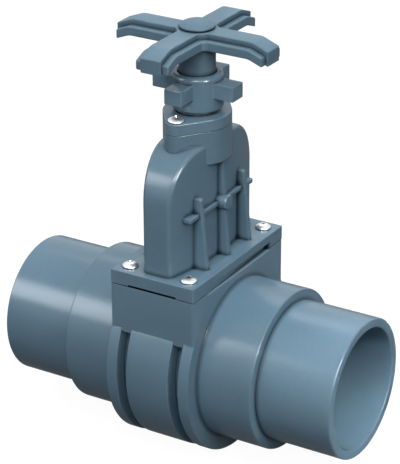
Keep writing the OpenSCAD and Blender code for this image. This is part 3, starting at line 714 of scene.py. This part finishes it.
def bonnet_piece():
    """Plate and arched housing with its ribs, neck and ears, and the hollows inside."""
    shell = arch_shell(
        "shell", BONNET_Y, CROWN_Z, SHOULDER_R, BONNET_X, FACE_R, ARCH_EDGE, PLATE_TOP - 1,
    )
    plan = round_poly(rect(BLOCK_X / 2, BLOCK_Y / 2), PLATE_EDGE, 4)
    parts = [prism("plate", plan, BLOCK_TOP, PLATE_TOP, 0.3, 3)]
    for turn in (0, 180):
        parts.append(turned(upright_rib(NECK_LOW + 1.6, 0), turn))
        for y in (-RIB_Y, RIB_Y):
            parts.append(turned(upright_rib(RIB_TOP, y), turn))
        parts.append(turned(cross_rib(CROSS_HALF_BACK if turn else CROSS_HALF), turn))
        knob = boss("knob", KNOB_R, 9, KNOB_OUT, (0, 1.0), 5, 40, "X")
        parts.append(turned(moved(knob, Matrix.Translation((0, 0, KNOB_Z))), turn))
    parts.append(boss("neck", NECK_R, NECK_LOW, NECK_TOP, (1.0, 0.25), 4, 96))
    parts.append(prism("ears", ear_points(12), CAVITY_TOP, NECK_TOP, 0.25, 2))
    shell = union(shell, *parts)

    tools = [
        arch_shell(
            "hollow", BONNET_Y - 2 * WALL, CAVITY_TOP, SHOULDER_R - 3, BONNET_X - 2 * WALL,
            FACE_R - WALL, 0.6, BLOCK_TOP - 1,
        ),
        drill("stem_hole", STEM_HOLE_R, 110, 120, 64),
        drill("neck_bore", NECK_BORE_R, NECK_FLOOR, 130, 64),
    ]
    tools += tall_slots()
    for side in (-1, 1):
        face, inner = side * (BLOCK_Y / 2 + 5), side * (BLOCK_Y / 2 - THIN_SLOT_IN)
        tools.append(box(
            "thin", -THIN_SLOT_X / 2, THIN_SLOT_X / 2, min(face, inner), max(face, inner),
            BLOCK_TOP - 5, BLOCK_TOP + THIN_SLOT_H,
        ))
        for sy in (-1, 1):
            at = (side * SCREW_X, sy * SCREW_Y)
            tools.append(drill("hole", SCREW_HOLE_R, 40, 60, at=at))
        tools.append(drill("hole", INSERT_R, EAR_INSERT_LOW, 130, at=(0, side * EAR_Y)))
    shell = cut(shell, *tools)
    low, high = RING_FLOOR, 126
    section = [(RING_IN_R, low), (RING_OUT_R, low), (RING_OUT_R, high), (RING_IN_R, high)]
    shell = cut(shell, lathe("o_groove", section, "Z", 96))
    return edge_groove(shell, BLOCK_TOP, 1, PLATE_EDGE, PLATE_CHAMFER)


# ---------------------------------------------------------------- threads

def threaded(name, crest, root, low, high, lead, starts=1, hand=1, bore=0.0, segments=72):
    """Threaded rod, or tube with a bore, whose thread dies out at both ends.

    Of each half pitch 0.2 is root, 0.45 flank and the rest crest.
    """
    bm = bmesh.new()
    pitch = lead / starts
    levels = max(8, int((high - low) / pitch * 10))
    rings = []
    for k in range(levels + 1):
        z = low + (high - low) * k / levels
        fade = max(0.0, min(1.0, (z - low) / pitch, (high - z) / pitch))
        ring = []
        for i in range(segments):
            a = TAU * i / segments
            phase = ((z - hand * lead * a / TAU) / pitch) % 1.0
            lift = min(1.0, max(0.0, (abs(2 * phase - 1) - 0.2) / 0.45))
            r = root + (crest - root) * (lift * fade)
            ring.append(bm.verts.new((r * math.cos(a), r * math.sin(a), z)))
        rings.append(ring)
    if bore > 0:
        rings += [circle(bm, bore, high, segments), circle(bm, bore, low, segments)]
        pairs = zip(rings, rings[1:] + rings[:1])
    else:
        pairs = zip(rings, rings[1:])
        bm.faces.new(rings[0][::-1])
        bm.faces.new(rings[-1])
    for a, b in pairs:
        skin(bm, a, b)
    return to_object(bm, name)


# ---------------------------------------------------------------- gland flange and nut

def flange_piece():
    """Two-eared plate with the threaded spigot that takes the packing and the nut."""
    plate = prism("flange", ear_points(14), NECK_TOP, FLANGE_TOP, 0.5, 3)
    plate = union(plate, threaded(
        "spigot", SPIGOT_R, SPIGOT_R - THREAD_DEPTH, NECK_TOP + 2, SPIGOT_TOP, SPIGOT_LEAD,
        bore=7.0, segments=96,
    ))
    tools = [
        drill("hole", FLANGE_HOLE_R, 120, 160, 64),
        drill("pack", PACK_R, PACK_FLOOR, 160, 64),
    ]
    for sy in (-1, 1):
        tools.append(drill("hole", SCREW_HOLE_R, 120, 140, at=(0, sy * EAR_Y)))
    return cut(plate, *tools)


def lug_plan():
    """Four lugs with small root fillets; between them the plan stays inside the round nut."""
    fillet, inside = LUG_ROOT_R, NUT_R - 0.4
    xc = math.sqrt((NUT_R + fillet) ** 2 - (LUG_HALF + fillet) ** 2)
    sweep = math.pi / 2 - math.atan2(LUG_HALF + fillet, xc)
    edge = [(LUG_REACH, LUG_HALF)]
    for k in range(5):
        a = -math.pi / 2 - sweep * k / 4
        edge.append((xc + fillet * math.cos(a), LUG_HALF + fillet + fillet * math.sin(a)))
    lug = [(x, -y) for x, y in reversed(edge)] + edge
    lug.append((inside * math.cos(math.pi / 4), inside * math.sin(math.pi / 4)))
    points = []
    for turn in range(4):
        c, s = math.cos(turn * math.pi / 2), math.sin(turn * math.pi / 2)
        points += [(x * c - y * s, x * s + y * c) for x, y in lug]
    return points


def nut_piece():
    """Round nut with a bevelled rim and four lugs, bored plain for the spigot and the stem."""
    nut = boss("nut", NUT_R, 0, NUT_H, (0.6, 2.1), 7, 128)
    nut = moved(nut, Matrix.Translation((0, 0, NUT_Z)))
    lugs = prism("lugs", lug_plan(), NUT_Z + LUG_Z, NUT_Z + LUG_Z + LUG_H, 0.55, 3)
    nut = union(nut, lugs)
    wide = NUT_HOLE_R + NUT_EASE
    mouth = [
        (0, 120), (NUT_HOLE_R, 120), (NUT_HOLE_R, NUT_TOP - NUT_EASE), (wide, NUT_TOP),
        (wide, 160), (0, 160),
    ]
    return cut(
        nut,
        drill("thread_bore", NUT_BORE_R, 120, NUT_TOP - NUT_ROOF, 96),
        lathe("hole", mouth, "Z", 96, False),
    )


# ---------------------------------------------------------------- handle

def cross_plan(half, reach, chamfer, tip_r, inner_r):
    """Plan of four arms; chamfer and inner_r ease the inner corners, tip_r rounds the tips."""
    arm = [
        ((reach, -half), tip_r), ((reach, half), tip_r),
        ((half + chamfer, half), inner_r), ((half, half + chamfer), inner_r),
    ]
    points, radii = [], []
    for turn in range(4):
        a = turn * math.pi / 2
        c, s = round(math.cos(a)), round(math.sin(a))
        for (x, y), r in arm:
            points.append((x * c - y * s, x * s + y * c))
            radii.append(r)
    return round_poly(points, radii, 3)


def droop(bm):
    """Bends the outer part of each arm down, with a soft knee."""
    start, end = BEND_R - KNEE, BEND_R + KNEE
    for turn in range(4):
        a = turn * math.pi / 2
        normal = Vector((math.cos(a), math.sin(a), 0))
        for d in (start, BEND_R - KNEE / 2, BEND_R, BEND_R + KNEE / 2, end):
            geom = bm.verts[:] + bm.edges[:] + bm.faces[:]
            bmesh.ops.bisect_plane(bm, geom=geom, plane_co=normal * d, plane_no=normal)
    for v in bm.verts:
        d = max(abs(v.co.x), abs(v.co.y))
        if d <= start:
            continue
        if d < end:
            t = (d - BEND_R + KNEE) / (2 * KNEE)
            v.co.z -= TIP_SLOPE * KNEE * t * t
        else:
            v.co.z -= TIP_SLOPE * (d - BEND_R)


def handle_piece():
    """Four arms with side rails and drooped tips, and the hub with its square and recess."""
    top = prism_mesh(cross_plan(ARM_HALF, ARM_R, 3.5, 0.5, 1.5), RAIL_LOW + 0.4, HANDLE_Z, 0.6, 3)
    rails = prism_mesh(cross_plan(RAIL_HALF, RAIL_R, 2.0, 0.8, 2.0), RAIL_LOW, RAIL_TOP, 0.7, 3)
    droop(top)
    droop(rails)
    parts = [to_object(rails, "rails")]
    inner = ARM_R - TIP_T
    tip_plan = round_poly(
        [(inner, -ARM_HALF), (ARM_R, -ARM_HALF), (ARM_R, ARM_HALF), (inner, ARM_HALF)],
        [0.4, 0.5, 0.5, 0.4], 3,
    )
    for turn in range(4):
        tip = prism_mesh(tip_plan, HANDLE_Z - TIP_H, HANDLE_Z - 0.05, 0.6, 3)
        for v in tip.verts:
            v.co.z -= TIP_SLOPE * (v.co.x - BEND_R)
            if v.co.z < HANDLE_Z - TIP_FALL - TIP_H / 2:  # the tip's foot, which stays level
                v.co.z = max(v.co.z, HANDLE_Z - TIP_FALL - TIP_H)
        parts.append(turned(to_object(tip, "tip"), 90 * turn))
    parts.append(boss("hub", HUB_PIN_R, HUB_LOW, RAIL_LOW + 1, (0.4, 0), 3, 96))
    handle = union(to_object(top, "handle"), *parts)
    return cut(
        handle,
        drill("stem_hole", HANDLE_BORE_R, 140, DRIVE_Z, 48),
        box("drive", -DRIVE_HALF, DRIVE_HALF, -DRIVE_HALF, DRIVE_HALF, DRIVE_Z - 1, 190),
        drill("recess", RECESS_R, RECESS_Z, 190, 64),
    )


def cap_piece():
    """Low domed cap with a plug underneath."""
    rise = CAP_H - CAP_SIDE
    sphere_r = (CAP_R ** 2 + rise ** 2) / (2 * rise)
    arc = math.asin((CAP_R - 0.35) / sphere_r)
    dome = []
    for k in range(15):
        a = arc * (1 - k / 14)
        dome.append((sphere_r * math.sin(a), HANDLE_Z + CAP_H - sphere_r + sphere_r * math.cos(a)))
    rim = [
        (0, 0.6), (PLUG_IN_R, 0.6), (PLUG_IN_R, -PLUG_DEPTH), (PLUG_R, -PLUG_DEPTH), (PLUG_R, 0),
        (CAP_R - 0.7, 0), (CAP_R - 0.2, 0.25), (CAP_R, 0.7), (CAP_R, 1.25), (CAP_R - 0.1, CAP_SIDE),
    ]
    return lathe("cap", [(r, HANDLE_Z + z) for r, z in rim] + dome, "Z", 96, False)


# ---------------------------------------------------------------- screws and stem

def phillips_screw(length):
    """Pan-head screw with a tapered cross recess; its seat is at z = 0."""
    ball = HEAD_R * 1.44
    edge = math.asin(HEAD_R * 0.985 / ball)
    drop = HEAD_H - ball * (1 - math.cos(edge))
    profile = [
        (0, -length), (SHANK_R * 0.7, -length), (SHANK_R, -length + 1.0), (SHANK_R, 0),
        (HEAD_R - 0.25, 0), (HEAD_R, 0.25), (HEAD_R, drop - 0.1),
    ]
    for k in range(10):
        a = edge * (1 - k / 9)
        profile.append((ball * math.sin(a), HEAD_H - ball + ball * math.cos(a)))
    tools = []
    for turn in (0, 90):
        bm = bmesh.new()
        low, high = [
            [bm.verts.new((x, y, z)) for x, y in rect(half_x, half_y)]
            for half_x, half_y, z in (
                (0.6, 0.26, HEAD_H - RECESS_DEPTH), (1.7, 0.40, HEAD_H + 0.4),
            )
        ]
        bm.faces.new(low)
        bm.faces.new(high)
        skin(bm, low, high)
        tools.append(turned(to_object(bm, "cross"), turn))
    return cut(lathe("screw", profile, "Z", 48, False), *tools)


def screw_set(name, places, length, seat):
    """The same screw at several places, each turned another way."""
    parts = []
    master = phillips_screw(length)
    for i, (x, y) in enumerate(places):
        turn = Matrix.Rotation(math.radians(31 + 67 * i), 4, "Z")
        parts.append(copy_of(master, Matrix.Translation((x, y, seat)) @ turn))
    bpy.data.objects.remove(master)
    return joined(name, parts)


def stem_piece():
    """Stem: left-hand two-start thread, shaft with thrust collar, square, bore for the screw."""
    rod = threaded(
        "rod", THREAD_R, THREAD_R - THREAD_DEPTH, STEM_LOW, CAVITY_TOP + 0.6, STEM_LEAD,
        starts=2, hand=-1, segments=48,
    )
    low, collar_top = CAVITY_TOP + 0.5, COLLAR_Z + COLLAR_H
    outline = [
        (0, low), (STEM_R, low), (STEM_R, COLLAR_Z), (COLLAR_R, COLLAR_Z),
        (COLLAR_R, collar_top), (STEM_R, collar_top), (STEM_R, DRIVE_Z), (0, DRIVE_Z),
    ]
    shaft_profile = round_poly(outline, [0, 0.4, 0.2, 0.3, 0.3, 0.2, 0.4, 0], 3)
    shaft = lathe("shaft", shaft_profile, "Z", 72, False)
    half = SQUARE_HALF
    square = box("square", -half, half, -half, half, DRIVE_Z - 1, RECESS_Z - 0.5, 0.3, 2)
    stem = union(rod, shaft, square)
    return cut(stem, drill("bore", STEM_BORE_R, RECESS_Z - STEM_BORE_H, 190))


# ---------------------------------------------------------------- pieces

finish(body_piece(), "body_shell", "housing", PVC, ["body"], flat=True)
finish(socket_piece(180), "socket_left", "housing", PVC_TUBE_LIT, ["left_socket"])
finish(socket_piece(0), "socket_right", "housing", PVC_TUBE_LIT, ["right_socket"])
finish(bonnet_piece(), "bonnet_shell", "housing", PVC, ["bonnet"], flat=True)
finish(flange_piece(), "flange_plate", "housing", PVC_GLAND_LIT, ["gland_flange"])
finish(nut_piece(), "gland_cap_nut", "gland", PVC_GLAND_LIT, ["gland_nut"])
finish(handle_piece(), "cross_handle", "spindle", PVC_HANDLE_SHADED, ["handle"])
finish(cap_piece(), "handle_button", "spindle", PVC_HANDLE_SHADED, ["handle_cap"])
corners = [(sx * SCREW_X, sy * SCREW_Y) for sx in (-1, 1) for sy in (-1, 1)]
finish(
    screw_set("plate_screws", corners, 14, PLATE_TOP),
    "plate_screws", "housing", STEEL, ["bonnet_screws"],
)
finish(
    screw_set("ear_screws", [(0, -EAR_Y), (0, EAR_Y)], 11, FLANGE_TOP),
    "ear_screws", "housing", STEEL, ["gland_screws"],
)
finish(stem_piece(), "threaded_stem", "spindle", STEEL, ["stem"])

# The other nodes are shown as the source made them, in these materials
CAD_MATERIALS = {
    ACETAL: ["left_seat_ring", "right_seat_ring", "stem_bush", "thrust_washer", "gland_follower"],
    RUBBER: ["left_seat_seal", "right_seat_seal", "bonnet_gasket", "gland_oring", "packing_rings"],
    BRASS: ["bonnet_inserts", "gland_inserts", "stem_nut"],
    STEEL: ["handle_washer", "handle_screw", "nut_retainer"],
    PVC: ["gate"],
}
for material, names in CAD_MATERIALS.items():
    for name in names:
        mesh = frame["nodes"][name].data
        mesh.materials.clear()
        mesh.materials.append(material)


# ---------------------------------------------------------------- backdrop, light, camera

def shown(tree):
    """1 for rays that show the background: camera, glossy and transmission rays."""
    path = tree.nodes.new("ShaderNodeLightPath")
    total = path.outputs["Is Camera Ray"]
    for name in ("Is Glossy Ray", "Is Transmission Ray"):
        node = tree.nodes.new("ShaderNodeMath")
        node.operation = "MAXIMUM"
        tree.links.new(total, node.inputs[0])
        tree.links.new(path.outputs[name], node.inputs[1])
        total = node.outputs[0]
    return total


def mixed(tree, factor, a, b):
    """Mix of two shaders."""
    node = tree.nodes.new("ShaderNodeMixShader")
    for value, socket in zip((factor, a, b), node.inputs):
        tree.links.new(value, socket)
    return node.outputs[0]


def backdrop():
    """Pale floor: white to the camera, keeping the soft shadow; darker to diffuse light."""
    bm = bmesh.new()
    bmesh.ops.create_grid(bm, x_segments=1, y_segments=1, size=6.0)
    floor = to_object(bm, "floor")
    floor.location.z = -0.0003
    mat = bpy.data.materials.new("floor")
    tree, out = cleared(mat, "ShaderNodeOutputMaterial")
    diffuse = tree.nodes.new("ShaderNodeBsdfDiffuse")
    diffuse.inputs[0].default_value = (0.08, 0.082, 0.088, 1)
    pale = tree.nodes.new("ShaderNodeEmission")
    pale.inputs[0].default_value = (1, 1, 1, 1)
    path = tree.nodes.new("ShaderNodeLightPath")
    tree.links.new(mapped(tree, path.outputs["Is Camera Ray"], 0.12, 0.96), pale.inputs[1])
    glow = tree.nodes.new("ShaderNodeAddShader")
    tree.links.new(diffuse.outputs[0], glow.inputs[0])
    tree.links.new(pale.outputs[0], glow.inputs[1])
    both = mixed(tree, shown(tree), diffuse.outputs[0], glow.outputs[0])
    tree.links.new(both, out.inputs[0])
    floor.data.materials.append(mat)


def world():
    """White to the camera and in reflections; as light, a soft sky, darker towards the floor."""
    studio = bpy.data.worlds.new("studio")
    bpy.context.scene.world = studio
    tree, out = cleared(studio, "ShaderNodeOutputWorld")
    coords = tree.nodes.new("ShaderNodeTexCoord")
    split = tree.nodes.new("ShaderNodeSeparateXYZ")
    tree.links.new(coords.outputs["Generated"], split.inputs[0])
    sky_colour = ramp(
        tree, split.outputs[2],
        [(0.0, (0.10, 0.105, 0.11)), (0.35, (0.32, 0.335, 0.35)), (1.0, (0.78, 0.82, 0.87))],
    )
    sky = tree.nodes.new("ShaderNodeBackground")
    tree.links.new(sky_colour, sky.inputs[0])
    sky.inputs[1].default_value = 0.87
    white = tree.nodes.new("ShaderNodeBackground")
    white.inputs[0].default_value = (1, 1, 1, 1)
    white.inputs[1].default_value = 1.0
    tree.links.new(mixed(tree, shown(tree), sky.outputs[0], white.outputs[0]), out.inputs[0])


def area_light(name, place, target, size, power, diffuse=True, glossy=True, spread=180):
    """Soft box; with diffuse off it is only a highlight, with glossy off it makes none."""
    data = bpy.data.lights.new(name, "AREA")
    data.shape = "RECTANGLE"
    data.size, data.size_y = size
    data.energy = power
    data.spread = math.radians(spread)
    obj = bpy.data.objects.new(name, data)
    bpy.context.scene.collection.objects.link(obj)
    obj.location = place
    aim = Vector(target) - Vector(place)
    obj.rotation_euler = aim.to_track_quat("-Z", "Y").to_euler()
    obj.visible_diffuse = diffuse
    obj.visible_glossy = glossy


def camera():
    """The photograph's view, as it was fitted: direction, slight roll, distance and lens."""
    az, el, roll = math.radians(31.299), math.radians(24.699), -0.004
    distance, focal_px, photo_h, sensor = 1.097314, 2171.213, 464, 36.0
    back = Vector((math.sin(az) * math.cos(el), -math.cos(az) * math.cos(el), math.sin(el)))
    level = Vector((math.cos(az), math.sin(az), 0))
    above = back.cross(level)
    right = level * math.cos(roll) + above * math.sin(roll)
    up = above * math.cos(roll) - level * math.sin(roll)
    centre = right * 0.001037 + Vector((0, 0, 0.063394 + AXIS_Z * MM))
    data = bpy.data.cameras.new("camera")
    data.sensor_width = sensor
    data.lens = focal_px / photo_h * sensor
    data.clip_start, data.clip_end = 0.05, 50
    obj = bpy.data.objects.new("camera", data)
    bpy.context.scene.collection.objects.link(obj)
    turn = Matrix((right, up, back)).transposed().to_4x4()
    obj.matrix_world = Matrix.Translation(centre + back * distance) @ turn
    bpy.context.scene.camera = obj


backdrop()
world()
area_light("key", (-0.56, -0.60, 0.55), (-0.07, 0, 0.07), (0.34, 0.36), 4.5, diffuse=False)
area_light("main", (0.36, -0.92, 1.00), (0, 0, 0.08), (0.7, 0.7), 9.5)
area_light("top", (0.10, 0.10, 1.40), (0, 0, 0.08), (1.1, 1.1), 9.0, glossy=False)
area_light("spark", (0.40, -0.89, 0.86), (0, 0, 0.14), (0.20, 0.20), 11.0, diffuse=False)
area_light("back", (-0.30, 0.52, 0.80), (0.06, 0, 0.09), (0.50, 0.24), 0.9, diffuse=False)
area_light("side", (0.80, -0.29, 0.50), (0, 0, 0.1), (0.20, 0.34), 1.1)
area_light("strip", (0.82, -0.31, 0.46), (0, 0, 0.1), (0.12, 0.30), 14.0, diffuse=False)
area_light("end", (0.55, -0.17, 0.44), (0.115, 0, 0.045), (0.06, 0.06), 0.030, spread=16)
camera()
bpy.context.scene.view_settings.view_transform = "Standard"
